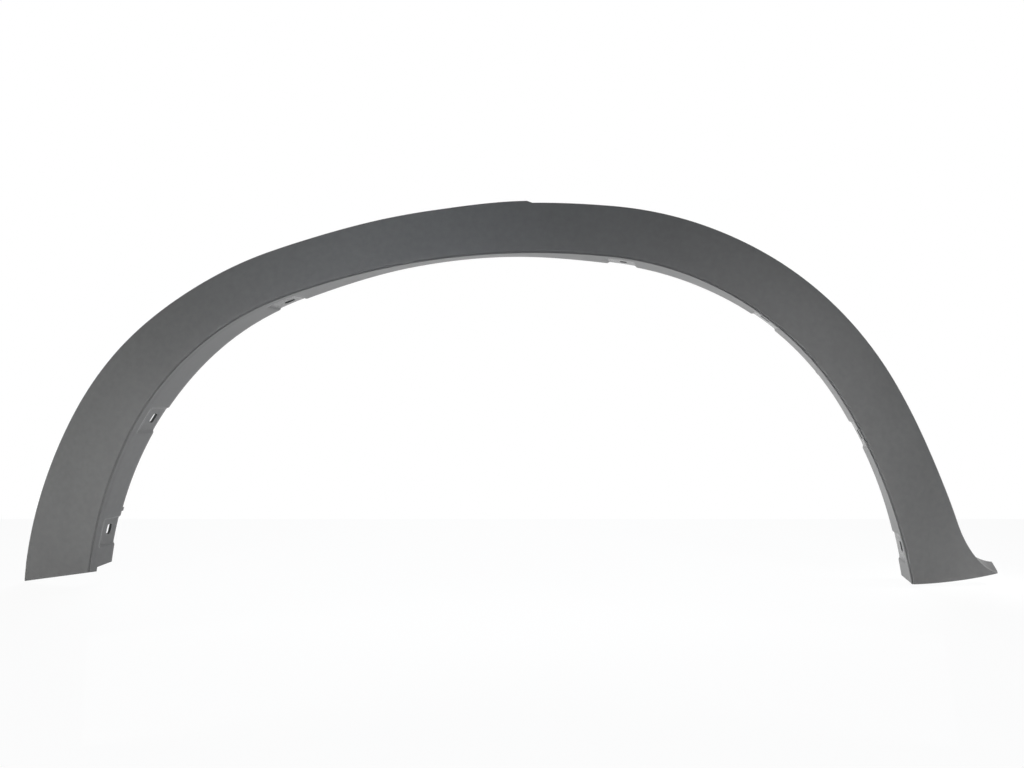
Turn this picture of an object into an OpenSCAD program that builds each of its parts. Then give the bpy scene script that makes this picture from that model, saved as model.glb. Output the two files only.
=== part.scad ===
// Wheel arch trim for one corner of a car: a single injection-moulded shell.
// X runs along the car, Z is up and Y goes into the body, so the outer face looks toward -Y.
// The origin lies on the axis of the top locating pin, in the plane of the body panel it enters.

/* [Seam] */
// Direction of the seam at the bumper end, the seam being the edge between face and inner flange
seam_heading = 83.4; // [80:0.5:90]
// Radius of the seam along the bumper leg
bumper_leg_r = 418.5; // [390:0.5:450]
// Turn of the seam along the bumper leg
bumper_leg_turn = 18.8; // [17:0.1:22]
// Radius of the shoulder above the bumper leg
bumper_shoulder_r = 289.5; // [270:0.5:300]
// Turn of that shoulder
bumper_shoulder_turn = 44.9; // [41:0.1:46]
// Radius of the flat crown
crown_r = 751; // [720:1:790]
// Turn of the crown
crown_turn = 25.5; // [24:0.1:28]
// Radius of the shoulder above the sill leg
sill_shoulder_r = 317; // [300:0.5:335]
// Turn of that shoulder
sill_shoulder_turn = 53.3; // [50:0.1:56]
// Radius of the seam along the sill leg
sill_leg_r = 530; // [500:1:560]
// Turn of the seam along the sill leg
sill_leg_turn = 20.2; // [18:0.1:22]

/* [Body side] */
// Radius of the body side, seen from above
plan_r = 6000; // [4000:100:12000]
// Distance from the bumper end of the seam to where the body side stands out furthest
plan_x = 513; // [430:1:600]
// Angle of the mould's draw across the car, which flange and lip follow
draw_yaw = 11.4; // [6:0.1:14]
// Angle of the mould's draw below the horizontal
draw_dip = 1.1; // [0:0.1:3]

/* [Shell] */
// Thickness of the moulded wall
wall = 2.6; // [2.2:0.1:3]
// How far the outer edge lies behind the seam
band_setback = 12; // [10:0.5:14]
// How far the face swells between its edges
band_crown = 1.4; // [0.8:0.1:2.5]
// Radius of the face's outer edge
edge_r = 2.4; // [1.5:0.1:3]
// Radius of the corner behind the seam
root_r = 2.4; // [1.5:0.1:3]
// Radius of the corner inside the lip
lip_root_r = 1; // [0.5:0.1:2]
// Depth of the lip behind the outer edge
lip_depth = 11; // [8:0.5:14]
// Width of the face at even steps of the seam, bumper end first
band_w = [72.8, 68.6, 62.6, 54, 51, 52, 52.9, 53.6, 55.8, 58.5, 59.8, 60.9, 66.5]; // [45:0.1:80]
// Depth of the inner flange at the same steps
flange_depth = [37, 38, 44, 43, 42, 32, 34, 42, 44, 42, 38, 37, 44]; // [28:1:48]
// How far the flange's free edge leans into the opening at the same steps
flange_lean = [-1.3, -0.5, -0.3, -0.4, -1.4, -2, -2, 0.8, 1.4, 0.1, 0, 0.1, 1.1]; // [-3:0.1:3]

/* [Shadow groove] */
// Width of the bead between groove and flange
bead_w = 0.5; // [0.4:0.1:1]
// Width of the groove along the seam
groove_w = 1.4; // [1:0.1:2]
// Depth of the groove below the bead
groove_depth = 0.8; // [0.5:0.1:1]
// Step from the face down to the bead
bead_drop = 0.9; // [0.6:0.1:1.2]
// Radius of the bead's edges
bead_r = 0.3; // [0.1:0.05:0.4]
// Radius of the face's edge at the groove
groove_r = 0.8; // [0.4:0.1:1.2]

/* [Crown step] */
// Place of the step in the outer edge, measured along the seam
step_at = 616; // [560:1:680]
// Height of the step
step_h = 2; // [1:0.1:3]
// Length of the rise up to the step
step_rise = 90; // [60:5:120]
// Length of the drop after it
step_drop = 5; // [3:0.5:8]

/* [Clip pads] */
// Middles of the recessed pads in the inner flange, measured along the seam
pad_at = [38.5, 164, 355.5, 707.5, 869.5, 1024, 1149]; // [35:0.5:1152]
// Length of a pad
pad_l = 26; // [22:1:30]
// How far a pad is set back
pad_recess = 1.5; // [1:0.1:2.5]
// Length of the ramp at each end of a pad
pad_ramp = 3; // [2:0.5:5]
// Share of the flange's depth in front of a pad
pad_start = 0.28; // [0.2:0.01:0.32]
// How far each pad's slot lies past the pad's middle
slot_shift = [2.5, 1.5, 2, 2, -0.5, 0, -1]; // [-6:0.5:6]
// Depth of each slot's centre behind the seam
slot_depth = [24, 29, 31.5, 31, 25, 23, 22]; // [20:0.5:34]
// Length of each slot along the flange
slot_l = [11, 11, 11, 7, 11, 11, 11]; // [6:0.5:14]
// Width of a slot
slot_w = 7; // [5:0.5:8]
// Corner radius of a slot
slot_r = 2.2; // [1:0.1:2.4]

/* [Ends] */
// Place of the bumper end's cut at the seam, measured along the seam
bumper_cut_at = -0.5; // [-3:0.5:2]
// Place of the bumper end's outer tip, measured along the seam
bumper_tip_at = -16; // [-22:0.5:-14]
// Angle by which that cut drops toward the back
bumper_cut_dip = 8; // [0:1:12]
// Radius of the bumper end's outer tip
bumper_tip_r = 1.5; // [1:0.5:4]
// Depth of the part of the flange that reaches the bumper end's cut
strip_depth = 12; // [10:0.5:15]
// How far the rest of the flange stops short of that cut
strip_step = 3; // [2:0.5:6]
// How much further it stops short at its free edge
strip_rise = 1; // [0:0.5:4]
// Place of the sill end's cut past the end of the seam
foot_cut_at = 3.5; // [0:0.5:4]
// Place of the foot's tip past the end of the seam
foot_tip_at = 10.5; // [6:0.5:12]
// Radius of the sill end's lower edge
foot_edge_r = 620; // [500:10:800]
// Radius of the foot's tip
foot_tip_r = 1.2; // [0.8:0.1:2]
// How far the foot sweeps out past the band
foot_flare = 28; // [22:0.5:32]
// Length of the sweep
foot_sweep = 51; // [46:1:64]
// Roundness of the sweep, where 1 is a full quarter ellipse
foot_round = 0.98; // [0.9:0.005:0.99]
// How far the foot's lip leans out at the tip
foot_lean = 9.5; // [4:0.5:12]
// Share of the sweep that has no lean
foot_upright = 0.66; // [0.6:0.01:0.8]
// Extra depth of the lip at the foot's tip
foot_lip = 5.5; // [0:0.5:8]

/* [Back] */
// Places of the clip seats along the seam
seat_at = [99, 260, 438, 688, 838, 1058]; // [60:1:1100]
// Length of a clip seat along the band
seat_l = 24; // [20:1:28]
// Width of a clip seat across the band
seat_w = 20; // [16:1:22]
// Distance from the seam to the middle of a clip seat, as a share of the band's width
seat_share = 0.56; // [0.5:0.01:0.6]
// Thickness of a clip seat's walls and plate
seat_t = 2; // [1.6:0.1:2.5]
// Gap between a clip seat's plate and the body panel
seat_gap = 1; // [0.5:0.1:2]
// Width of the slot for a clip's neck
neck_w = 7; // [5:0.5:9]
// Places of the gussets between flange and face
gusset_at = [71, 133, 229, 308, 401, 488, 558, 653, 758, 798, 913, 983, 1098]; // [60:1:1120]
// Thickness of a gusset
gusset_t = 1.8; // [1.5:0.1:2.5]
// Reach of a gusset along the face
gusset_w = 20; // [14:1:24]
// Height of a gusset where it ends on the face
gusset_toe = 3; // [2:0.5:5]
// Depth of a gusset along the flange
gusset_depth = 22; // [16:1:26]
// How far out the middle of a gusset's free edge lies, where 1 is a straight edge
gusset_hollow = 0.75; // [0.6:0.01:0.9]
// Places of the two locating pins along the seam
pin_at = [605, 958]; // [600:1:970]
// Distance of a locating pin from the seam
pin_w = 25; // [22:1:28]
// Radius of a locating pin
pin_r = 3.5; // [2.5:0.1:4]
// Length of a locating pin past the body panel
pin_l = 9; // [6:0.5:12]
// Chamfer at a pin's tip
pin_chamfer = 1; // [0.5:0.1:2]
// Radius of the boss that carries a pin
boss_r = 5; // [4.5:0.1:5.2]
// Gap between a boss and the body panel
boss_gap = 1; // [0.5:0.1:2]
// Places of the small tabs on the flange's free edge
tab_at = [61, 947.5]; // [60:0.5:960]
// Length of a tab
tab_l = 4; // [3:0.5:10]
// How far a tab stands out
tab_h = 2; // [1:0.5:3]

/* [Hidden] */

plastic = [0.33, 0.34, 0.34];
station_gap = 15;     // longest distance between two cross-sections
end_spare = 26;       // length drawn past the bumper end, then cut
foot_spare = 16;      // length drawn past the sill end, then cut
far = 70;             // reach of the end cuts past the part
arc_steps = 8;        // straight pieces in each arc of a cut
flange_reach = 7;     // how far a slot is cut each way from the flange
sweep_marks = [1, 0.75, 0.53, 0.37, 0.23, 0.13, 0.05]; // shares of the foot's sweep, closer where it turns
pad_step = 1.2;       // depth of the step in front of a pad, as a share of its recess
gusset_root = 0.7;    // how deep in the corner a gusset starts, as a share of the wall

arcs = [
    [bumper_leg_r, bumper_leg_turn],
    [bumper_shoulder_r, bumper_shoulder_turn],
    [crown_r, crown_turn],
    [sill_shoulder_r, sill_shoulder_turn],
    [sill_leg_r, sill_leg_turn]
];
function arc_len(i) = arcs[i][0] * arcs[i][1] * PI / 180;
function len_before(i) = i == 0 ? 0 : len_before(i - 1) + arc_len(i - 1);
function heading_at(i) = i == 0 ? seam_heading : heading_at(i - 1) - arcs[i - 1][1];
seam_l = len_before(len(arcs));
arc_starts = [for (i = [0 : len(arcs) - 1]) len_before(i)];
headings = [for (i = [0 : len(arcs) - 1]) heading_at(i)];

// Point at a heading that has turned clockwise by a along an arc that starts at p
function arc_point(p, h, r, a) = p + r * [sin(h) - sin(h - a), cos(h - a) - cos(h)];
function arc_start_point(i) = i == 0
    ? [0, 0]
    : arc_point(arc_start_point(i - 1), headings[i - 1], arcs[i - 1][0], arcs[i - 1][1]);
arc_points = [for (i = [0 : len(arcs) - 1]) arc_start_point(i)];

function arc_of(s, i = 0) = i == len(arcs) - 1 || s < arc_starts[i + 1] ? i : arc_of(s, i + 1);
function turned(s, i) = (s - arc_starts[i]) / arcs[i][0] * 180 / PI;
function seam_xz(s) = let (i = arc_of(s)) arc_point(arc_points[i], headings[i], arcs[i][0], turned(s, i));
function heading(s) = let (i = arc_of(s)) headings[i] - turned(s, i);
function outward(s) = let (h = heading(s)) [-sin(h), cos(h)];

// A point beside the seam: w is [X, Z] away from it, y straight back and d back along the draw
function seam_y(x) = pow(x - plan_x, 2) / (2 * plan_r);
function from_start(s, w, y, d) = let (p = seam_xz(s)) [
    p[0] + w[0] + d * tan(draw_yaw),
    seam_y(p[0]) + y + d,
    p[1] + w[1] - d * tan(draw_dip)
];
panel_y = band_setback + lip_depth;
datum = from_start(pin_at[0], pin_w * outward(pin_at[0]), panel_y, 0);
function place(s, w, y, d) = from_start(s, w, y, d) - datum;

// Smooth value at s from a list of values at even steps of the seam
function blend(v, s) = let (
    n = len(v) - 1,
    x = min(max(s / seam_l * n, 0), n),
    i = min(floor(x), n - 1),
    t = x - i,
    a = v[max(i - 1, 0)],
    b = v[i],
    c = v[i + 1],
    e = v[min(i + 2, n)]
) b + t / 2 * (c - a + t * (2 * a - 5 * b + 4 * c - e + t * (3 * (b - c) + e - a)));

// Rise from 0 to 1 with level ends
function ease(t) = let (x = min(max(t, 0), 1)) x * x * (3 - 2 * x);

// Outer edge of the face: its distance from the seam, its place and its own outward direction
function step_up(s) = s < step_at
    ? step_h * ease((s - step_at + step_rise) / step_rise)
    : step_h * (1 - min((s - step_at) / step_drop, 1));
function foot_share(s) = min(max((s - seam_l - foot_tip_at + foot_sweep) / foot_sweep, 0), 1);
function sweep_curve(x) = (1 - sqrt(1 - pow(foot_round * x, 2))) / (1 - sqrt(1 - pow(foot_round, 2)));
function band(s) = blend(band_w, s) + step_up(s) + foot_flare * sweep_curve(foot_share(s));
function edge_xz(s) = seam_xz(s) + band(s) * outward(s);
probe = 0.5; // distance each way over which the edge's direction is taken
function edge_out(s) = let (
    d = edge_xz(s + probe) - edge_xz(s - probe)
) [-d[1], d[0]] / norm(d);

// Cross-section: pairs of points, one on the show side and one on the back, as [w, y, d]
face_share = [0, 0.17, 0.36, 0.55, 0.74, 0.9, 1];
function face_y(f) = band_setback * f - 4 * band_crown * f * (1 - f);
function pad_amount(s) = max([for (p = pad_at)
    1 - ease((abs(s - p) - pad_l / 2) / pad_ramp)]);
function lip_share(s) = max(foot_share(s) - foot_upright, 0) / (1 - foot_upright);
function lip_lean(s) = foot_lean * lip_share(s);
function lip_back(s) = lip_depth - edge_r + foot_lip * lip_share(s);

function flange_pairs(s) = let (
    n = outward(s),
    f = blend(flange_depth, s),
    lean = blend(flange_lean, s),
    pad = pad_recess * pad_amount(s),
    ramp_end = pad_start + pad_recess * pad_step / f
) [for (q = [[1, pad], [ramp_end, pad], [pad_start, 0]]) let (u = q[1] - lean * q[0]) [
    [n * u, 0, f * q[0]],
    [n * (u + wall), 0, f * q[0]]
]];

groove_floor = bead_drop + groove_depth;
groove_end = bead_w + groove_w;
// Bead and groove on the show side, as [distance out, distance back], with a plain round corner behind them
corner_show = [
    [0, groove_floor],
    [0, bead_drop + bead_r],
    [bead_r, bead_drop],
    [bead_w + groove_w / 3, groove_floor],
    [groove_end - bead_r, bead_drop],
    [groove_end, groove_r / 3]
];
corner_turn = 90 / (len(corner_show) - 1);
function corner_pairs(s) = let (n = outward(s)) [for (i = [0 : len(corner_show) - 1]) let (a = i * corner_turn) [
    [n * corner_show[i][0], corner_show[i][1], 0],
    [n * (wall + root_r * (1 - cos(a))), wall + root_r * (1 - sin(a)), 0]
]];

face_from = groove_end + groove_r;
back_from = wall + root_r + groove_r;
function face_pairs(s) = let (
    n = outward(s),
    m = edge_out(s),
    e = band(s) * n
) [for (f = face_share) [
    [(1 - f) * face_from * n + f * (e - m * edge_r), face_y(f), 0],
    [(1 - f) * back_from * n + f * (e - m * (wall + lip_root_r)), face_y(f) + wall, 0]
]];

bent = 1 - cos(45);
function lip_pairs(s) = let (
    m = edge_out(s),
    e = band(s) * outward(s),
    back = lip_back(s),
    lean = lip_lean(s),
    y = band_setback
) [
    [[e - m * edge_r * bent, y + edge_r * bent, 0],
     [e - m * (wall + lip_root_r * bent), y + wall + lip_root_r * bent, 0]],
    [[e, y + edge_r, 0],
     [e - m * wall, y + wall + lip_root_r, 0]],
    [[e + m * lean, y + edge_r, back],
     [e + m * (lean - wall), y + edge_r, back]]
];

function pairs(s) = concat(flange_pairs(s), corner_pairs(s), face_pairs(s), lip_pairs(s));
function at(s, q) = place(s, q[0], q[1], q[2]);
function section(s) = let (p = pairs(s)) concat(
    [for (q = p) at(s, q[0])],
    [for (i = [len(p) - 1 : -1 : 0]) at(s, p[i][1])]
);

// Cross-sections stand at each change of shape, and evenly between
marks = concat(
    [-end_spare, 0],
    [for (p = pad_at) for (k = [-1, 1]) for (e = k < 0 ? [pad_ramp, pad_ramp / 2, 0] : [0, pad_ramp / 2, pad_ramp])
        p + k * (pad_l / 2 + e)],
    [step_at, step_at + step_drop],
    [for (k = sweep_marks) seam_l + foot_tip_at - k * foot_sweep],
    [seam_l + foot_spare]
);
function sorted(v) = len(v) <= 1 ? v : let (
    p = v[floor(len(v) / 2)]
) concat(
    sorted([for (x = v) if (x < p) x]),
    [p],
    sorted([for (x = v) if (x > p) x])
);
ordered = sorted(marks);
stations = concat(
    [for (i = [0 : len(ordered) - 2]) let (
        gap = ordered[i + 1] - ordered[i],
        n = ceil(gap / station_gap)
    ) for (k = [0 : n - 1]) ordered[i] + gap * k / n],
    [ordered[len(ordered) - 1]]
);

// Skin through a list of closed rings, with each end closed across the wall
module skin(rings) {
    n = len(rings[0]);
    last = len(rings) - 1;
    points = [for (r = rings) for (p = r) p];
    sides = [for (i = [0 : last - 1]) for (j = [0 : n - 1]) let (
        a = i * n + j,
        b = i * n + (j + 1) % n,
        c = a + n,
        d = b + n
    ) each [[a, b, d], [a, d, c]]];
    caps = [for (j = [0 : n / 2 - 2]) let (
        a = j,
        b = j + 1,
        c = n - 2 - j,
        d = n - 1 - j,
        t = last * n
    ) each [[a, c, b], [a, d, c], [a + t, b + t, c + t], [a + t, c + t, d + t]]];
    polyhedron(points = points, faces = concat(sides, caps));
}

module shell() {
    skin([for (s = stations) section(s)]);
}

// Round corner at p between the directions to a and b
function unit(v) = v / norm(v);
function fillet(p, a, b, r) = let (
    u = unit(a - p),
    w = unit(b - p),
    half = acos(u * w) / 2,
    c = p + unit(u + w) * r / sin(half),
    from = p + u * r / tan(half) - c,
    to = p + w * r / tan(half) - c,
    a0 = atan2(from[1], from[0]),
    turn = (atan2(to[1], to[0]) - a0 + 540) % 360 - 180
) [for (k = [0 : arc_steps]) let (g = a0 + turn * k / arc_steps) c + r * [cos(g), sin(g)]];

// Arc of radius r from p to q, bulging to the right of the way from p to q
function bulge(p, q, r) = let (
    m = (p + q) / 2,
    v = unit(q - p),
    h = norm(q - p) / 2,
    c = m + [-v[1], v[0]] * sqrt(r * r - h * h),
    a0 = atan2(p[1] - c[1], p[0] - c[0]),
    turn = 2 * asin(h / r)
) [for (k = [0 : arc_steps]) let (g = a0 + turn * k / arc_steps) c + r * [cos(g), sin(g)]];

// Prism through the whole depth of the part, over an outline in X and Z that starts from the seam
module through(outline) {
    translate([-datum[0], far, -datum[2]])
        rotate([90, 0, 0])
            linear_extrude(2 * far)
                polygon(outline);
}

module bumper_end_cut() {
    inner = seam_xz(bumper_cut_at);
    tip = edge_xz(bumper_tip_at);
    up_edge = edge_xz(bumper_tip_at + bumper_tip_r);
    tip_round = fillet(tip, inner, up_edge, bumper_tip_r);
    away = inner + unit(inner - tip) * far;
    pivot = place(bumper_cut_at, [0, 0], 0, 0);
    translate(pivot)
        rotate([-bumper_cut_dip, 0, 0])
            translate(-pivot)
                through(concat(
                    [away],
                    tip_round,
                    [tip_round[arc_steps] - [far, 0], tip - [far, far], away - [0, far]]
                ));
}

// The flange behind its first strip stops short of the bumper end's cut
module strip_step_cut() {
    corner = place(bumper_cut_at, [-wall - strip_step, strip_step], strip_depth, 0);
    depth = flange_depth[0];
    rise = strip_rise / (depth - strip_depth) * depth;
    translate(corner)
        rotate([90, 0, 90])
            linear_extrude(far)
                polygon([[0, -far], [depth, -far], [depth, rise], [0, 0]]);
}

// The lower edge is an arc out to the foot's tip, and the lip ends straight above that tip
module sill_end_cut() {
    inner = seam_xz(seam_l + foot_cut_at);
    tip = edge_xz(seam_l + foot_tip_at);
    lower = bulge(inner, tip, foot_edge_r);
    above_tip = tip + [0, far];
    through(concat(
        [inner - [far, 0]],
        [for (k = [0 : arc_steps - 1]) lower[k]],
        fillet(tip, lower[arc_steps - 1], above_tip, foot_tip_r),
        [above_tip, tip + [far, far], tip + [far, -far], inner - [far, far]]
    ));
}

// Frame at a station: X along the seam, Y into the body, Z away from the seam
module at_station(s, w, y, d) {
    translate(place(s, w * outward(s), y, d))
        rotate([0, -heading(s), 0])
            children();
}

module rounded_slot(l, w, r) {
    square([l - 2 * r, w], center = true);
    square([l, w - 2 * r], center = true);
    for (x = [-1, 1], y = [-1, 1])
        translate([x * (l / 2 - r), y * (w / 2 - r)])
            circle(r, $fn = 24);
}

module flange_slots() {
    for (i = [0 : len(pad_at) - 1])
        at_station(pad_at[i] + slot_shift[i], pad_recess - flange_reach, 0, slot_depth[i])
            linear_extrude(2 * flange_reach)
                rounded_slot(slot_l[i], slot_w, slot_r);
}

// Solid with the same corners at two stations, given as [w, y, d]
module between(s0, s1, corners) {
    skin([for (s = [s0, s1]) [for (c = corners) place(s, c[0] * outward(s), c[1], c[2])]]);
}
function in_wall(s, w) = face_y(w / (band(s) - edge_r)) + wall / 2;

module gusset(s) {
    top = [wall / 2, 0, gusset_depth];
    toe = [gusset_w, in_wall(s, gusset_w) + wall / 2 + gusset_toe, 0];
    between(s - gusset_t / 2, s + gusset_t / 2, [
        [wall * gusset_root, wall * gusset_root, 0],
        [gusset_w / 2, in_wall(s, gusset_w / 2), 0],
        [gusset_w, in_wall(s, gusset_w), 0],
        toe,
        (top + toe) / 2 * gusset_hollow,
        top
    ]);
}

module clip_seat(s) {
    w = seat_share * band(s);
    top = panel_y - seat_gap;
    low = w - seat_w / 2;
    high = w + seat_w / 2;
    difference() {
        between(s - seat_l / 2, s + seat_l / 2, [
            [low, top, 0],
            [low, in_wall(s, low), 0],
            [high, in_wall(s, high), 0],
            [high, top, 0]
        ]);
        between(s - seat_l / 2 + seat_t, s + seat_l, [
            [low + seat_t, top - seat_t, 0],
            [low + seat_t, -seat_t, 0],
            [high - seat_t, -seat_t, 0],
            [high - seat_t, top - seat_t, 0]
        ]);
        at_station(s, w, top, 0)
            rotate([90, 0, 0])
                translate([0, 0, -seat_t]) {
                    cylinder(r = neck_w / 2, h = 3 * seat_t, $fn = 32);
                    translate([0, -neck_w / 2, 0])
                        cube([seat_l, neck_w, 3 * seat_t]);
                }
    }
}

module locating_pin(s) {
    root = in_wall(s, pin_w);
    at_station(s, pin_w, root, 0)
        rotate([-90, 0, 0]) {
            cylinder(r = boss_r, h = panel_y - boss_gap - root, $fn = 48);
            cylinder(r = pin_r, h = panel_y + pin_l - pin_chamfer - root, $fn = 48);
            translate([0, 0, panel_y + pin_l - pin_chamfer - root])
                cylinder(r1 = pin_r, r2 = pin_r - pin_chamfer, h = pin_chamfer, $fn = 48);
        }
}

module edge_tab(s) {
    f = blend(flange_depth, s);
    lean = blend(flange_lean, s);
    between(s - tab_l / 2, s + tab_l / 2, [
        [-lean, 0, f + tab_h],
        [-lean, 0, f - tab_h],
        [wall - lean, 0, f - tab_h],
        [wall - lean, 0, f + tab_h]
    ]);
}

module arch_trim() {
    color(plastic)
        difference() {
            union() {
                shell();
                for (s = gusset_at) gusset(s);
                for (s = seat_at) clip_seat(s);
                for (s = pin_at) locating_pin(s);
                for (s = tab_at) edge_tab(s);
            }
            flange_slots();
            bumper_end_cut();
            strip_step_cut();
            sill_end_cut();
        }
}

arch_trim();
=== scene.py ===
import math
import bpy
from mathutils import Matrix, Vector


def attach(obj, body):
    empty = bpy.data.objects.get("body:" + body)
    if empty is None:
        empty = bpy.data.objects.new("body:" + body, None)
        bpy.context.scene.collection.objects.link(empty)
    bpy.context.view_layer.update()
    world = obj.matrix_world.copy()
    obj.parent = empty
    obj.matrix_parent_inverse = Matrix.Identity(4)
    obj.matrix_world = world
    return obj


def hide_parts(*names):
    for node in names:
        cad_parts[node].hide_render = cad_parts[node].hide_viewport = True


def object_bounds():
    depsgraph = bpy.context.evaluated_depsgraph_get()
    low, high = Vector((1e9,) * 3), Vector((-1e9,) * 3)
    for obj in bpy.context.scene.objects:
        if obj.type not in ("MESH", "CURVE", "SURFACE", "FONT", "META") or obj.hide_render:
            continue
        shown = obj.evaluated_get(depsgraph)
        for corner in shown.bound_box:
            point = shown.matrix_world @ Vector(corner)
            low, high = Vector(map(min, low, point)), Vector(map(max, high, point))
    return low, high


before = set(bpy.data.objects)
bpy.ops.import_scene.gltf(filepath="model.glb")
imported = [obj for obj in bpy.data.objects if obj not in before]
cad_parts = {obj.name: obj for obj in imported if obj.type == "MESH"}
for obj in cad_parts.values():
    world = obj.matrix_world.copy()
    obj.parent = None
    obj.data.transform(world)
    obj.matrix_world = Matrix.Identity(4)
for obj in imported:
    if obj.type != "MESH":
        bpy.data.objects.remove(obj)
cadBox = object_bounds()
print("frame loaded:", sorted(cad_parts))

scene = bpy.context.scene
scene.view_settings.view_transform = "Standard"
mm = 0.001

# The seam is five arcs, each with its radius and its turn, from the bumper end to the sill end
seam = {
    "heading": 83.4,
    "arcs": [(418.5, 18.8), (289.5, 44.9), (751, 25.5), (317, 53.3), (530, 20.2)],
    "planRadius": 6000,      # the body side, seen from above
    "planX": 513,            # where it stands out furthest
    "drawYaw": 11.4,         # the mould's draw, which flange and lip follow
    "drawDip": 1.1,
    "pinAt": 605,            # the top locating pin, where the frame has its origin
    "pinOut": 25,
}

# Sizes in millimetres, as the moulding has them
shell = {
    "wall": 2.6,
    "setback": 12,           # outer edge behind the seam
    "crown": 1.4,            # swell of the face
    "edgeRadius": 2.4,
    "rootRadius": 2.4,       # behind the seam
    "lipRootRadius": 1,
    "lipDepth": 11,
    "bandWidth": [72.8, 68.6, 62.6, 54, 51, 52, 52.9, 53.6, 55.8, 58.5, 59.8, 60.9, 66.5],
    "flangeDepth": [37, 38, 44, 43, 42, 32, 34, 42, 44, 42, 38, 37, 44],
    "flangeLean": [-1.3, -0.5, -0.3, -0.4, -1.4, -2, -2, 0.8, 1.4, 0.1, 0, 0.1, 1.1],
    "freeRadius": 0.5,       # rounding of the free edges
    "freeMiddle": 0.3,       # share of that rounding at its middle row
    "flangeShares": [0.9, 0.8, 0.7, 0.6, 0.5, 0.42],    # rows from the free edge to a pad's ramp
    "rootShares": [0.22, 0.15],                         # rows from the ramp to the bead
    "faceSteps": 18,
    "edgeSteps": 7,
    "edgeEase": 8,           # how late the face bends to meet the outer edge
    "lipShares": [0.2, 0.4, 0.6, 0.8],
    "stationGap": 4,
    "footStationGap": 2,
    "sharpAngle": 32,
}

groove = {
    "beadWidth": 0.5,
    "beadRadius": 0.3,
    "width": 1.4,
    "depth": 0.8,
    "drop": 0.9,
    "start": 1.2,            # the profile starts this far behind the groove's floor
    "outerOut": 0.05,        # the groove's outer corner
    "outerDrop": 0.06,
    "innerRadius": 0.12,
    "floorRadius": 0.16,
    "outerRadius": 0.3,
    "faceRadius": 0.8,
    "faceRise": 0.02,
    "steps": 3,
}

crownStep = {"at": 616, "height": 2, "rise": 90, "drop": 5}

pads = {
    "at": [38.5, 164, 355.5, 707.5, 869.5, 1024, 1149],
    "length": 26,
    "recess": 1.5,
    "ramp": 3,
    "rampSteps": 4,
    "full": 0.9,             # share of the recess from which a face counts as pad
    "start": 0.28,           # share of the flange's depth in front of a pad
    "step": 1.2,
    "slotShift": [2.5, 1.5, 2, 2, -0.5, 0, -1],
    "slotDepth": [24, 29, 31.5, 31, 25, 23, 22],
    "slotLength": [11, 11, 11, 7, 11, 11, 11],
    "slotWidth": 7,
    "slotRadius": 2.2,
    "cornerSteps": 8,
    "slotReach": 7,
}

ends = {
    "bumperCut": -0.5,
    "bumperTip": -16,
    "bumperDip": 8,
    "bumperRadius": 1.5,
    "stripDepth": 12,
    "stripStep": 3,
    "stripRise": 1,
    "footCut": 3.5,
    "footTip": 10.5,
    "footEdgeRadius": 620,
    "footRadius": 1.2,
    "footFlare": 28,
    "footSweep": 51,
    "footRound": 0.98,
    "footLean": 9.5,
    "footUpright": 0.66,
    "footLip": 5.5,
    "spare": 26,             # drawn past the bumper end, then cut
    "footSpare": 16,
    "far": 70,
    "arcSteps": 14,
}

back = {
    "seatAt": [99, 260, 438, 688, 838, 1058],
    "seatLength": 24,
    "seatWidth": 20,
    "seatShare": 0.56,
    "seatWall": 2,
    "seatGap": 1,
    "seatSteps": 6,
    "neckWidth": 7,
    "neckSteps": 16,
    "gussetAt": [71, 133, 229, 308, 401, 488, 558, 653, 758, 798, 913, 983, 1098],
    "gussetThick": 1.8,
    "gussetWidth": 20,
    "gussetToe": 3,
    "gussetDepth": 22,
    "gussetRoot": 0.7,
    "gussetHollow": 0.75,
    "gussetSteps": 4,        # along the face
    "hollowSteps": 6,        # along the free edge
    "pinAt": [605, 958],
    "pinRadius": 3.5,
    "pinLength": 9,
    "pinChamfer": 1,
    "pinSoft": 0.3,
    "pinSteps": 48,
    "bossRadius": 5,
    "bossGap": 1,
    "tabAt": [61, 947.5],
    "tabLength": 4,
    "tabHeight": 2,
}


def arcPoint(start, heading, radius, turn):
    a, b = math.radians(heading), math.radians(heading - turn)
    return start + radius * Vector((math.sin(a) - math.sin(b), math.cos(b) - math.cos(a)))


def layOutSeam():
    rows, start, heading, run = [], Vector((0, 0)), seam["heading"], 0
    for radius, turn in seam["arcs"]:
        rows.append((run, start, heading, radius))
        start = arcPoint(start, heading, radius, turn)
        heading -= turn
        run += radius * math.radians(turn)
    return rows, run


seamArcs, seamLength = layOutSeam()


def seamAt(s):
    run, start, heading, radius = [row for row in seamArcs if row[0] <= s or row is seamArcs[0]][-1]
    turn = math.degrees((s - run) / radius)
    return arcPoint(start, heading, radius, turn), heading - turn


def seamPoint(s):
    return seamAt(s)[0]


def outward(s):
    heading = math.radians(seamAt(s)[1])
    return Vector((-math.sin(heading), math.cos(heading)))


def seamDepth(x):
    return (x - seam["planX"]) ** 2 / (2 * seam["planRadius"])


def fromStart(s, w, y, d):
    p = seamPoint(s)
    return Vector((
        p.x + w.x + d * math.tan(math.radians(seam["drawYaw"])),
        seamDepth(p.x) + y + d,
        p.y + w.y - d * math.tan(math.radians(seam["drawDip"])),
    ))


panelDepth = shell["setback"] + shell["lipDepth"]
datum = fromStart(seam["pinAt"], seam["pinOut"] * outward(seam["pinAt"]), panelDepth, 0)


def place(s, w, y, d=0):
    return (fromStart(s, w, y, d) - datum) * mm


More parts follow.
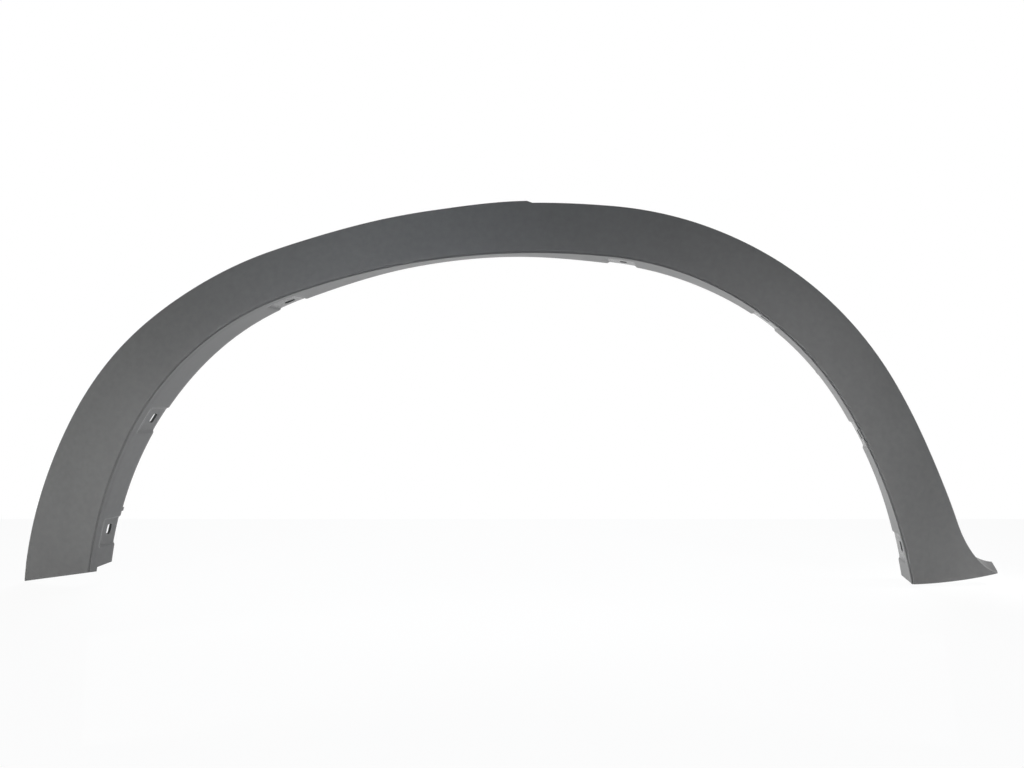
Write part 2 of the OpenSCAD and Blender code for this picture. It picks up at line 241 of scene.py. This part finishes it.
def blend(values, s):
    n = len(values) - 1
    x = min(max(s / seamLength * n, 0), n)
    i = min(int(x), n - 1)
    t = x - i
    a, b, c, e = values[max(i - 1, 0)], values[i], values[i + 1], values[min(i + 2, n)]
    return b + t / 2 * (c - a + t * (2 * a - 5 * b + 4 * c - e + t * (3 * (b - c) + e - a)))


def ease(t):
    x = min(max(t, 0), 1)
    return x * x * (3 - 2 * x)


def stepUp(s):
    if s < crownStep["at"]:
        return crownStep["height"] * ease((s - crownStep["at"] + crownStep["rise"]) / crownStep["rise"])
    return crownStep["height"] * (1 - ease((s - crownStep["at"]) / crownStep["drop"]))


def footShare(s):
    return min(max((s - seamLength - ends["footTip"] + ends["footSweep"]) / ends["footSweep"], 0), 1)


def band(s):
    r = ends["footRound"]
    sweep = (1 - math.sqrt(1 - (r * footShare(s)) ** 2)) / (1 - math.sqrt(1 - r ** 2))
    return blend(shell["bandWidth"], s) + stepUp(s) + ends["footFlare"] * sweep


def edgePoint(s):
    return seamPoint(s) + band(s) * outward(s)


def edgeOut(s):
    probe = 0.5
    d = edgePoint(s + probe) - edgePoint(s - probe)
    return Vector((-d.y, d.x)).normalized()


def rounded(path, radii, steps):
    # polyline with its inner corners turned into arcs
    out = [path[0]]
    for before, corner, after, radius in zip(path, path[1:], path[2:], radii):
        out += fillet(corner, before, after, radius, steps)
    return out + [path[-1]]


def fillet(corner, before, after, radius, steps):
    u, v = (before - corner).normalized(), (after - corner).normalized()
    half = math.acos(max(-1, min(1, u.dot(v)))) / 2
    centre = corner + (u + v).normalized() * radius / math.sin(half)
    start = corner + u * radius / math.tan(half) - centre
    stop = corner + v * radius / math.tan(half) - centre
    a = math.atan2(start.y, start.x)
    turn = (math.atan2(stop.y, stop.x) - a + 3 * math.pi) % (2 * math.pi) - math.pi
    return [
        centre + radius * Vector((math.cos(a + turn * k / steps), math.sin(a + turn * k / steps)))
        for k in range(steps + 1)
    ]


grooveEnd = groove["beadWidth"] + groove["width"]
grooveFloor = groove["drop"] + groove["depth"]
faceFrom = grooveEnd + groove["faceRadius"]
backFrom = shell["wall"] + shell["rootRadius"] + groove["faceRadius"]


def faceDepth(f):
    return shell["setback"] * f - 4 * shell["crown"] * f * (1 - f)


# Bead and groove beside the seam, as distance out and distance back
seamProfile = rounded(
    [
        Vector((0, grooveFloor + groove["start"])),
        Vector((0, groove["drop"])),
        Vector((groove["beadWidth"], groove["drop"])),
        Vector((groove["beadWidth"] + groove["width"] / 3, grooveFloor)),
        Vector((grooveEnd + groove["outerOut"], groove["outerDrop"])),
        Vector((faceFrom, -groove["faceRise"])),
    ],
    [groove["beadRadius"], groove["innerRadius"], groove["floorRadius"], groove["outerRadius"]],
    groove["steps"],
)


def padAmount(s):
    return max(1 - ease((abs(s - p) - pads["length"] / 2) / pads["ramp"]) for p in pads["at"])


# Faces across the flange, counted from the free edge: those of a pad, and all up to the bead
freeRows = 3
padRows = freeRows + len(shell["flangeShares"])
flangeRows = padRows + pads["rampSteps"] + 1 + len(shell["rootShares"])


def freeEdge(length):
    # share along a plate and inset of each face, for the rounding of its free edge
    edge, middle = shell["freeRadius"] / length, shell["freeMiddle"]
    return [(1 - edge, 0), (1 - edge * middle, shell["freeRadius"] * middle), (1, shell["freeRadius"])]


def flangePairs(s):
    n, wall, steps = outward(s), shell["wall"], pads["rampSteps"]
    depth, lean = blend(shell["flangeDepth"], s), blend(shell["flangeLean"], s)
    pad = pads["recess"] * padAmount(s)
    rampLength = pads["recess"] * pads["step"] / depth
    ramp = [pads["start"] + rampLength - rampLength * k / steps for k in range(steps + 1)]
    places = list(reversed(freeEdge(depth)))
    places += [(q, 0) for q in shell["flangeShares"] + ramp + shell["rootShares"]]
    rows = []
    for q, inset in places:
        u = pad * ease((q - pads["start"]) / rampLength) - lean * q
        rows.append([(n * (u + inset), 0, depth * q), (n * (u + wall - inset), 0, depth * q)])
    return rows


def cornerPairs(s):
    n, wall, root = outward(s), shell["wall"], shell["rootRadius"]
    rows = []
    for i, p in enumerate(seamProfile):
        a = math.pi / 2 * i / (len(seamProfile) - 1)
        behind = n * (wall + root * (1 - math.cos(a)))
        rows.append([(n * p.x, p.y, 0), (behind, wall + root * (1 - math.sin(a)), 0)])
    return rows


def outerPairs(s):
    n, m, e = outward(s), edgeOut(s), band(s) * outward(s)
    wall, r, root = shell["wall"], shell["edgeRadius"], shell["lipRootRadius"]
    slope = math.atan((shell["setback"] + 4 * shell["crown"]) / (band(s) - r - faceFrom))
    past = r * math.sin(slope)              # the face runs on until it is tangent to the edge's arc
    rows = []
    for k in range(1, shell["faceSteps"] + 1):
        f = k / shell["faceSteps"]
        show = (1 - f) * faceFrom * n + f * (e - m * (r - past))
        behind = (1 - f) * backFrom * n + f * (e - m * (wall + root))
        dip = past * math.tan(slope) * f ** shell["edgeEase"]
        rows.append([(show, faceDepth(f) + dip, 0), (behind, faceDepth(f) + wall, 0)])
    turnCentre = shell["setback"] + past * math.tan(slope) + r * math.cos(slope)
    for k in range(1, shell["edgeSteps"] + 1):
        a = slope + (math.pi / 2 - slope) * k / shell["edgeSteps"]
        b = math.pi / 2 * k / shell["edgeSteps"]
        show = e - m * (r - r * math.sin(a))
        behind = e - m * (wall + root - root * math.sin(b))
        rows.append([
            (show, turnCentre - r * math.cos(a), 0),
            (behind, shell["setback"] + wall + root * (1 - math.cos(b)), 0),
        ])
    return rows, e, m


def lipPairs(s, e, m):
    wall, y = shell["wall"], shell["setback"] + shell["edgeRadius"]
    share = max(footShare(s) - ends["footUpright"], 0) / (1 - ends["footUpright"])
    depth = shell["lipDepth"] - shell["edgeRadius"] + ends["footLip"] * share
    rows = []
    for q, inset in [(q, 0) for q in shell["lipShares"]] + freeEdge(depth):
        lean = ends["footLean"] * share * q
        rows.append([
            (e + m * (lean - inset), y, depth * q),
            (e + m * (lean - wall + inset), y + (wall - shell["edgeRadius"]) * (1 - q), depth * q),
        ])
    return rows


def sectionAt(s):
    outer, e, m = outerPairs(s)
    pairs = flangePairs(s) + cornerPairs(s) + outer + lipPairs(s, e, m)
    return [place(s, *p[0]) for p in pairs] + [place(s, *p[1]) for p in reversed(pairs)]


def stations():
    # every place where the section starts to change, and closer stations past the last pad
    marks = [-ends["spare"], crownStep["at"], crownStep["at"] + crownStep["drop"]]
    half, ramp, steps = pads["length"] / 2, pads["ramp"], pads["rampSteps"]
    for p in pads["at"]:
        for side in (-1, 1):
            marks += [p + side * (half + ramp * k / steps) for k in range(steps + 1)]
    marks += [seamLength + ends["footTip"] - ends["footSweep"], seamLength + ends["footSpare"]]
    marks.sort()
    out = []
    for a, b in zip(marks, marks[1:]):
        gap = shell["footStationGap"] if a >= pads["at"][-1] + half + ramp else shell["stationGap"]
        n = max(math.ceil((b - a) / gap), 1)
        out += [a + (b - a) * k / n for k in range(n)]
    return out + [marks[-1]]


def solid(name, points, faces):
    mesh = bpy.data.meshes.new(name)
    mesh.from_pydata([tuple(p) for p in points], [], faces)
    mesh.update()
    piece = bpy.data.objects.new(name, mesh)
    scene.collection.objects.link(piece)
    return piece


def skin(name, rings):
    # closed rings joined along the piece, each end closed across the wall
    n, last = len(rings[0]), len(rings) - 1
    points = [p for ring in rings for p in ring]
    faces = []
    for i in range(last):
        for j in range(n):
            k = (j + 1) % n
            faces.append((i * n + j, i * n + k, i * n + n + k, i * n + n + j))
    for j in range(n // 2 - 1):
        faces.append((j, n - 1 - j, n - 2 - j, j + 1))
        faces.append(tuple(last * n + q for q in (j, j + 1, n - 2 - j, n - 1 - j)))
    return solid(name, points, faces)


def prism(name, bottom, top):
    n = len(bottom)
    sides = [(i, (i + 1) % n, n + (i + 1) % n, n + i) for i in range(n)]
    return solid(name, bottom + top, sides + [tuple(reversed(range(n))), tuple(range(n, 2 * n))])


def outwardFacing(piece):
    # a closed solid whose signed volume is negative is turned inside out
    mesh = piece.data
    mesh.calc_loop_triangles()
    corners = [[mesh.vertices[i].co for i in t.vertices] for t in mesh.loop_triangles]
    if sum(a.dot(b.cross(c)) for a, b, c in corners) < 0:
        mesh.flip_normals()
    return piece


def combine(piece, tools, operation, finish="smooth"):
    # the faces that the tools leave get that finish
    tool = joined(tools)
    tool.data.polygons.foreach_set("material_index", [finishes.index(finish)] * len(tool.data.polygons))
    step = piece.modifiers.new(operation.lower(), "BOOLEAN")
    step.operation, step.solver, step.object = operation, "EXACT", tool
    bpy.context.view_layer.update()
    graph = bpy.context.evaluated_depsgraph_get()
    result = bpy.data.meshes.new_from_object(piece.evaluated_get(graph))
    piece.modifiers.clear()
    piece.data = result
    bpy.data.objects.remove(tool)
    return piece


def joined(pieces):
    points, faces = [], []
    for piece in pieces:
        start = len(points)
        outwardFacing(piece)
        points += [v.co.copy() for v in piece.data.vertices]
        faces += [tuple(start + i for i in f.vertices) for f in piece.data.polygons]
    for piece in pieces:
        bpy.data.objects.remove(piece)
    return solid("tool", points, faces)


def stationFrame(s, w, y, d=0):
    # X along the seam, Y into the body, Z away from the seam
    heading = math.radians(seamAt(s)[1])
    along, out = Vector((math.cos(heading), 0, math.sin(heading))), outward(s)
    turn = Matrix((along, (0, 1, 0), (out.x, 0, out.y))).transposed().to_4x4()
    return Matrix.Translation(place(s, w * out, y, d)) @ turn


def through(name, outline, pivot=None, dip=0):
    far = ends["far"]
    layers = [[Vector((p.x - datum.x, y, p.y - datum.z)) * mm for p in outline] for y in (-far, far)]
    if pivot:
        tilt = Matrix.Rotation(math.radians(-dip), 4, "X")
        turn = Matrix.Translation(pivot) @ tilt @ Matrix.Translation(-pivot)
        layers = [[turn @ p for p in layer] for layer in layers]
    return prism(name, *layers)


def bumperEndCut():
    far = ends["far"]
    radius = ends["bumperRadius"]
    inner, tip = seamPoint(ends["bumperCut"]), edgePoint(ends["bumperTip"])
    tipRound = fillet(tip, inner, edgePoint(ends["bumperTip"] + radius), radius, ends["arcSteps"])
    away = inner + (inner - tip).normalized() * far
    outline = [away, *tipRound, tipRound[-1] - Vector((far, 0))]
    outline += [tip - Vector((far, far)), away - Vector((0, far))]
    return through("bumper_cut", outline, place(ends["bumperCut"], Vector((0, 0)), 0), ends["bumperDip"])


def stripStepCut():
    far, depth = ends["far"], shell["flangeDepth"][0]
    inset = Vector((-shell["wall"] - ends["stripStep"], ends["stripStep"]))
    corner = place(ends["bumperCut"], inset, ends["stripDepth"])
    rise = ends["stripRise"] / (depth - ends["stripDepth"]) * depth
    outline = [(0, -far), (depth, -far), (depth, rise), (0, 0)]
    return prism("strip_cut", *[[corner + Vector((x, y, z)) * mm for y, z in outline] for x in (0, far)])


def sillEndCut():
    far, steps = ends["far"], ends["arcSteps"]
    inner, tip = seamPoint(seamLength + ends["footCut"]), edgePoint(seamLength + ends["footTip"])
    middle, half = (inner + tip) / 2, (tip - inner).length / 2
    v = (tip - inner).normalized()
    radius = ends["footEdgeRadius"]
    centre = middle + Vector((-v.y, v.x)) * math.sqrt(radius ** 2 - half ** 2)
    a = math.atan2(inner.y - centre.y, inner.x - centre.x)
    turn = 2 * math.asin(half / radius)
    lower = []
    for k in range(steps):
        b = a + turn * k / steps
        lower.append(centre + radius * Vector((math.cos(b), math.sin(b))))
    above = tip + Vector((0, far))
    outline = [inner - Vector((far, 0)), *lower]
    outline += [*fillet(tip, lower[-1], above, ends["footRadius"], steps), above]
    outline += [tip + Vector((far, far)), tip + Vector((far, -far)), inner - Vector((far, far))]
    return through("sill_cut", outline)


def slotCuts():
    cuts = []
    r, steps, reach = pads["slotRadius"], pads["cornerSteps"], pads["slotReach"]
    w = pads["slotWidth"] / 2 - r
    rows = zip(pads["at"], pads["slotShift"], pads["slotDepth"], pads["slotLength"])
    for p, shift, depth, length in rows:
        outline, l = [], length / 2 - r
        for cx, cy, a in ((l, w, 0), (-l, w, 90), (-l, -w, 180), (l, -w, 270)):
            for k in range(steps + 1):
                b = math.radians(a + 90 * k / steps)
                outline.append((cx + r * math.cos(b), cy + r * math.sin(b)))
        spot = stationFrame(p + shift, pads["recess"], 0, depth)
        layers = [[spot @ (Vector((x, y, z)) * mm) for x, y in outline] for z in (-reach, reach)]
        cuts.append(prism("slot", *layers))
    return cuts


def between(name, s0, s1, corners):
    rings = [[place(s, w * outward(s), y, d) for w, y, d in corners] for s in (s0, s1)]
    return prism(name, *rings)


def inWall(s, w):
    return faceDepth(w / (band(s) - shell["edgeRadius"])) + shell["wall"] / 2


def gusset(s):
    root, reach = shell["wall"] * back["gussetRoot"], back["gussetWidth"]
    steps, bend = back["gussetSteps"], back["hollowSteps"]
    top = Vector((shell["wall"] / 2, 0, back["gussetDepth"]))
    toe = Vector((reach, inWall(s, reach) + shell["wall"] / 2 + back["gussetToe"], 0))
    middle = (top + toe) / 2 * back["gussetHollow"]
    edge = []                                # the free edge is a smooth hollow through three points
    for k in range(bend + 1):
        t = k / bend
        edge.append((1 - t) * (1 - 2 * t) * toe + 4 * t * (1 - t) * middle + t * (2 * t - 1) * top)
    corners = [Vector((root, root, 0))]
    corners += [Vector((reach * k / steps, inWall(s, reach * k / steps), 0)) for k in range(1, steps + 1)]
    half = back["gussetThick"] / 2
    return between("gusset", s - half, s + half, corners + edge)


def clipSeat(s):
    t, half, neck = back["seatWall"], back["seatLength"] / 2, back["neckWidth"] / 2
    w = back["seatShare"] * band(s)
    top, low, high = panelDepth - back["seatGap"], w - back["seatWidth"] / 2, w + back["seatWidth"] / 2
    across = [low + (high - low) * k / back["seatSteps"] for k in range(back["seatSteps"] + 1)]
    under = [(x, inWall(s, x), 0) for x in across]
    block = between("seat", s - half, s + half, [(low, top, 0), *under, (high, top, 0)])
    pocket = [(low + t, top - t, 0), (low + t, -t, 0), (high - t, -t, 0), (high - t, top - t, 0)]
    hollow = between("hollow", s - half + t, s + back["seatLength"], pocket)
    spot = stationFrame(s, w, top)
    outline = [(back["seatLength"], -neck), (back["seatLength"], neck)]
    for k in range(back["neckSteps"] + 1):
        a = math.radians(90 + 180 * k / back["neckSteps"])
        outline.append((neck * math.cos(a), neck * math.sin(a)))
    slot = prism("neck", *[[spot @ (Vector((x, y, z)) * mm) for x, z in outline] for y in (-2 * t, t)])
    block = combine(outwardFacing(block), [hollow], "DIFFERENCE")
    return combine(block, [slot], "DIFFERENCE")


def turned(name, spot, profile, steps):
    # profile rows are radius and height along the station's Y
    rings = []
    for radius, y in profile:
        ring = []
        for k in range(steps):
            a = 2 * math.pi * k / steps
            ring.append(spot @ (Vector((radius * math.cos(a), y, radius * math.sin(a))) * mm))
        rings.append(ring)
    points = [p for ring in rings for p in ring]
    faces = [tuple(range(steps)), tuple(reversed(range((len(rings) - 1) * steps, len(rings) * steps)))]
    for i in range(len(rings) - 1):
        for k in range(steps):
            j = (k + 1) % steps
            faces.append((i * steps + j, i * steps + k, i * steps + steps + k, i * steps + steps + j))
    return solid(name, points, faces)


def locatingPin(s):
    root = inWall(s, seam["pinOut"])
    bossTop, pinTop = panelDepth - back["bossGap"] - root, panelDepth + back["pinLength"] - root
    r, boss, chamfer, soft = back["pinRadius"], back["bossRadius"], back["pinChamfer"], back["pinSoft"]
    profile = [(boss, 0), (boss, bossTop - soft), (boss - soft, bossTop)]
    profile += [(r + soft, bossTop), (r, bossTop + soft), (r, pinTop - chamfer), (r - chamfer, pinTop)]
    return turned("pin", stationFrame(s, seam["pinOut"], root), profile, back["pinSteps"])


def edgeTab(s):
    depth, lean, half = blend(shell["flangeDepth"], s), blend(shell["flangeLean"], s), back["tabLength"] / 2
    inner, h = shell["wall"] - lean, back["tabHeight"]
    corners = [(-lean, 0, depth + h), (-lean, 0, depth - h), (inner, 0, depth - h), (inner, 0, depth + h)]
    return between("tab", s - half, s + half, corners)


finishes = ["grained", "smooth", "pad", "slot"]


def finishAt(s, row, half):
    # place in that list of a face of the shell, by its row around the section
    if row < padRows and padAmount(s) > pads["full"]:
        return finishes.index("pad")
    return finishes.index("grained" if flangeRows <= row < half else "smooth")


def archTrim():
    places = stations()
    rings = [sectionAt(s) for s in places]
    trim = outwardFacing(skin("arch_trim_moulding", rings))
    for name in finishes:
        trim.data.materials.append(mouldedPlastic(name))
    rows = len(rings[0])
    for i, (a, b) in enumerate(zip(places, places[1:])):
        for j in range(rows):
            trim.data.polygons[i * rows + j].material_index = finishAt((a + b) / 2, j, rows // 2)
    print("shell:", len(trim.data.polygons), "faces")
    combine(trim, slotCuts(), "DIFFERENCE", "slot")
    added = [gusset(s) for s in back["gussetAt"]] + [clipSeat(s) for s in back["seatAt"]]
    added += [locatingPin(s) for s in back["pinAt"]] + [edgeTab(s) for s in back["tabAt"]]
    combine(trim, added, "UNION")
    for cut in (bumperEndCut, stripStepCut, sillEndCut):
        combine(trim, [cut()], "DIFFERENCE")
    print("moulding:", len(trim.data.polygons), "faces")
    trim.data.polygons.foreach_set("use_smooth", [True] * len(trim.data.polygons))
    trim.data.set_sharp_from_angle(angle=math.radians(shell["sharpAngle"]))
    return trim


class Wire:
    # a shader socket that works in Python expressions
    def __init__(self, tree, socket=None):
        self.tree, self.socket = tree, socket

    def node(self, kind, settings, sockets, out=0):
        made = self.tree.nodes.new(kind)
        for name, value in settings.items():
            setattr(made, name, value)
        for name, value in sockets.items():
            if isinstance(value, Wire):
                self.tree.links.new(value.socket, made.inputs[name])
            else:
                made.inputs[name].default_value = value
        return Wire(self.tree, made.outputs[out]) if made.outputs else made

    def mix(self, share, a, b):
        # colour between a and b, each a socket or three numbers
        first, second = [c if isinstance(c, Wire) else (*c, 1) for c in (a, b)]
        return self.node("ShaderNodeMix", {"data_type": "RGBA"}, {0: share, 6: first, 7: second}, 2)

    def maths(self, operation, a, b):
        return self.node("ShaderNodeMath", {"operation": operation}, {0: a, 1: b})

    def __add__(self, other):
        return self.maths("ADD", self, other)

    def __radd__(self, other):
        return self.maths("ADD", other, self)

    def __sub__(self, other):
        return self.maths("SUBTRACT", self, other)

    def __rsub__(self, other):
        return self.maths("SUBTRACT", other, self)

    def __mul__(self, other):
        return self.maths("MULTIPLY", self, other)

    def __rmul__(self, other):
        return self.maths("MULTIPLY", other, self)


def startMaterial(name):
    material = bpy.data.materials.new(name)
    material.use_nodes = True
    material.node_tree.nodes.clear()
    return material, Wire(material.node_tree)


plastic = {
    "colour": (0.0865, 0.086, 0.085),
    "paler": 1.6,            # how much paler the melt's streaks are
    "flowShare": 0.4,        # long streaks and short blotches in that
    "mottleShare": 0.6,
    "slotShadeColour": (0.04, 0.04, 0.04),    # painted shade: slot walls given a darker colour than the plastic, standing in for the shade inside the slots
    "sheenAndDustColour": (0.165, 0.166, 0.165),     # colour of the painted highlight on convex edges, and of the dust specks
    "finish": {              # roughness, share of the grain's height, shine
        "grained": (0.45, 1, 0.3),
        "smooth": (0.34, 0.25, 0.3),     # flange and back come off a plain part of the mould
        "pad": (0.2, 0.15, 0.3),
        "slot": (0.7, 0.5, 0.1),
    },
    "roughnessSpread": 0.1,
    "grainSize": 0.0009,     # the texture etched in the mould
    "grainHeight": 0.00005,
    "grainStrength": 0.7,
    "grainSoftness": 0.6,
    "fineFactor": 2.5,       # finer grain on top of it
    "fineHeight": 0.5,
    "mottleSize": 0.006,
    "flowSize": 0.07,
    "flowDistortion": 0.8,
    "noiseDetail": 3,
    "flowDetail": 4,
    "edgeStart": 0.51,       # how convex a place is before it counts as an edge
    "edgeGain": 8,
    "edgeEvenness": 0.3,     # share of the painted edge highlight that doesn't depend on the blotches
    "edgeShare": 0.7,
    "edgePolish": 0.08,
    "speckGap": 0.035,       # fine pale specks of dust, one or so to each such length
    "speckSize": 0.0007,
    "speckGain": 2,
    "speckShare": 0.35,
}


def mouldedPlastic(name):
    roughness, grainShare, shine = plastic["finish"][name]
    material, w = startMaterial(name + " plastic")
    where = w.node("ShaderNodeTexCoord", {}, {}, "Object")

    def noise(size, detail, distortion=0):
        return w.node("ShaderNodeTexNoise", {}, {
            "Vector": where, "Scale": 1 / size, "Detail": detail, "Distortion": distortion,
        })

    grain, gap = plastic["grainSize"], plastic["speckGap"]
    fine = noise(grain / plastic["fineFactor"], plastic["noiseDetail"])
    mottle = noise(plastic["mottleSize"], plastic["noiseDetail"])
    flow = noise(plastic["flowSize"], plastic["flowDetail"], plastic["flowDistortion"])
    pebbles = w.node(
        "ShaderNodeTexVoronoi", {"feature": "SMOOTH_F1"},
        {"Vector": where, "Scale": 1 / grain, "Smoothness": plastic["grainSoftness"]},
    )

    # Painted highlight: convex edges made paler, and a few pale dust specks
    convex = w.node("ShaderNodeNewGeometry", {}, {}, "Pointiness")
    edgeSheenRaw = (convex - plastic["edgeStart"]) * plastic["edgeGain"] * (mottle + plastic["edgeEvenness"])
    edge = w.node("ShaderNodeClamp", {}, {"Value": edgeSheenRaw})
    apart = w.node("ShaderNodeTexVoronoi", {}, {"Vector": where, "Scale": 1 / gap})
    near = (plastic["speckSize"] / gap - apart) * (gap / plastic["speckSize"])
    speck = w.node("ShaderNodeClamp", {}, {"Value": near * plastic["speckGain"]})

    # the slot finish takes the darker colour, a painted shade on the slot walls
    dark = plastic["slotShadeColour"] if name == "slot" else plastic["colour"]
    streaks = flow * plastic["flowShare"] + mottle * plastic["mottleShare"]
    body = w.mix(streaks, dark, [c * plastic["paler"] for c in dark])
    # painted edge highlight plus dust specks, mixed into the base colour
    sheenAndDust = edge * plastic["edgeShare"] + speck * plastic["speckShare"]
    uneven = (flow + mottle + fine - 1.5) * plastic["roughnessSpread"]      # the three noises average 1.5
    bump = w.node("ShaderNodeBump", {}, {
        "Strength": plastic["grainStrength"],
        "Distance": plastic["grainHeight"] * grainShare,
        "Height": fine * plastic["fineHeight"] - pebbles,
    })
    surface = w.node("ShaderNodeBsdfPrincipled", {}, {
        "Base Color": w.mix(sheenAndDust, body, plastic["sheenAndDustColour"]),
        "Roughness": roughness + uneven - edge * plastic["edgePolish"],
        "Normal": bump,
        "Specular IOR Level": shine,
    })
    w.node("ShaderNodeOutputMaterial", {}, {"Surface": surface})
    return material


stage = {
    "floorColour": 0.9,
    "floorWhite": 0.95,      # share of plain white that shows in the floor
    "size": 6,
    "behind": 0.45,          # the floor ends in a faint line behind the part
}


def showing(w):
    # 1 for rays in which the background is seen or mirrored, and 0 for those that light the part
    names = ("Is Camera Ray", "Is Glossy Ray", "Is Transmission Ray")
    straight, mirrored, passed = [w.node("ShaderNodeLightPath", {}, {}, name) for name in names]
    return straight + mirrored + passed


def paleFloor():
    material, w = startMaterial("pale floor")
    matt = w.node("ShaderNodeBsdfDiffuse", {}, {"Color": (*[stage["floorColour"]] * 3, 1)})
    white = w.node("ShaderNodeEmission", {}, {"Color": (1, 1, 1, 1), "Strength": 1})
    both = w.node("ShaderNodeMixShader", {}, {0: showing(w) * stage["floorWhite"], 1: matt, 2: white})
    w.node("ShaderNodeOutputMaterial", {}, {"Surface": both})
    return material


def layFloor(z):
    size, behind = stage["size"], stage["behind"]
    corners = [(-size, -size, z), (size, -size, z), (size, behind, z), (-size, behind, z)]
    floor = solid("floor", [Vector(c) for c in corners], [(0, 1, 2, 3)])
    floor.data.materials.append(paleFloor())


studio = {
    "ambient": 0.06,
    "ambientColour": (0.7, 0.95, 1.3, 1),
    "lamps": {               # place, aim, size, watts, colour, spread in degrees
        "wide": ((-1.8, -1, -0.1), (0, 0, -0.15), 1.2, 5.4, (0.98, 1, 1.02), 180),
        "bumperFoot": ((-0.9, -1, -0.3), (-0.46, 0, -0.33), 0.3, 0.92, (1, 1, 0.98), 46),
        "bumperShoulder": ((-0.6, -1.1, 0.2), (-0.1, 0, -0.02), 0.1, 0.125, (0.94, 1, 1.07), 26),
        "sillShoulder": ((0.9, -1, 0.3), (0.32, 0, -0.1), 0.4, 0.42, (1, 1, 1), 44),
        "sillFoot": ((0.9, -1, -0.3), (0.45, 0, -0.33), 0.3, 0.26, (1, 1, 0.98), 40),
        "bumperFlange": ((0.3, -0.3, -0.25), (-0.42, 0.02, -0.25), 0.25, 0.38, (1, 1, 1), 50),
        "sillFlange": ((-0.3, -0.3, -0.25), (0.4, 0.02, -0.25), 0.25, 0.48, (1, 1, 1), 50),
        "footReturn": ((0.9, -0.03, 0.25), (0.48, 0.01, -0.34), 0.1, 0.06, (1, 1, 1), 16),
        "behind": ((0, 1.3, 1), (0, 0, -0.08), 1.2, 5, (0.95, 1, 1.05), 50),
    },
}


def lightWorld():
    world = bpy.data.worlds.new("studio")
    scene.world = world
    world.use_nodes = True
    world.node_tree.nodes.clear()
    w = Wire(world.node_tree)
    colour, strength = studio["ambientColour"], studio["ambient"]
    soft = w.node("ShaderNodeBackground", {}, {"Color": colour, "Strength": strength})
    white = w.node("ShaderNodeBackground", {}, {"Color": (1, 1, 1, 1), "Strength": 1})
    both = w.node("ShaderNodeMixShader", {}, {0: showing(w), 1: soft, 2: white})
    w.node("ShaderNodeOutputWorld", {}, {"Surface": both})


def hangLamps():
    for name, (spot, aim, size, watts, colour, spread) in studio["lamps"].items():
        lamp = bpy.data.lights.new(name, "AREA")
        lamp.shape, lamp.size, lamp.energy, lamp.color = "SQUARE", size, watts, colour
        lamp.spread = math.radians(spread)
        holder = bpy.data.objects.new(name, lamp)
        holder.visible_camera = False
        holder.visible_glossy = False       # the face, seen edge-on, would mirror the lamps as white
        holder.location = spot
        holder.rotation_euler = (Vector(aim) - Vector(spot)).to_track_quat("-Z", "Y").to_euler()
        scene.collection.objects.link(holder)
    print("lamps:", len(studio["lamps"]))


view = {
    "place": (-0.00402, -0.92348, -0.156),
    "focalPixels": 900,
    "imageWidth": 1024,
    "sensorWidth": 36,
    "near": 0.01,
    "far": 50,
}


def setCamera():
    data = bpy.data.cameras.new("camera")
    data.sensor_width = view["sensorWidth"]
    data.lens = view["focalPixels"] * data.sensor_width / view["imageWidth"]
    data.clip_start, data.clip_end = view["near"], view["far"]
    camera = bpy.data.objects.new("camera", data)
    camera.location = view["place"]
    camera.rotation_euler = (math.pi / 2, 0, 0)     # level, looking along Y
    scene.collection.objects.link(camera)
    scene.camera = camera


setCamera()
trim = archTrim()
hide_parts("arch_trim")
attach(trim, "root")
lightWorld()
hangLamps()
layFloor(cadBox[0].z)
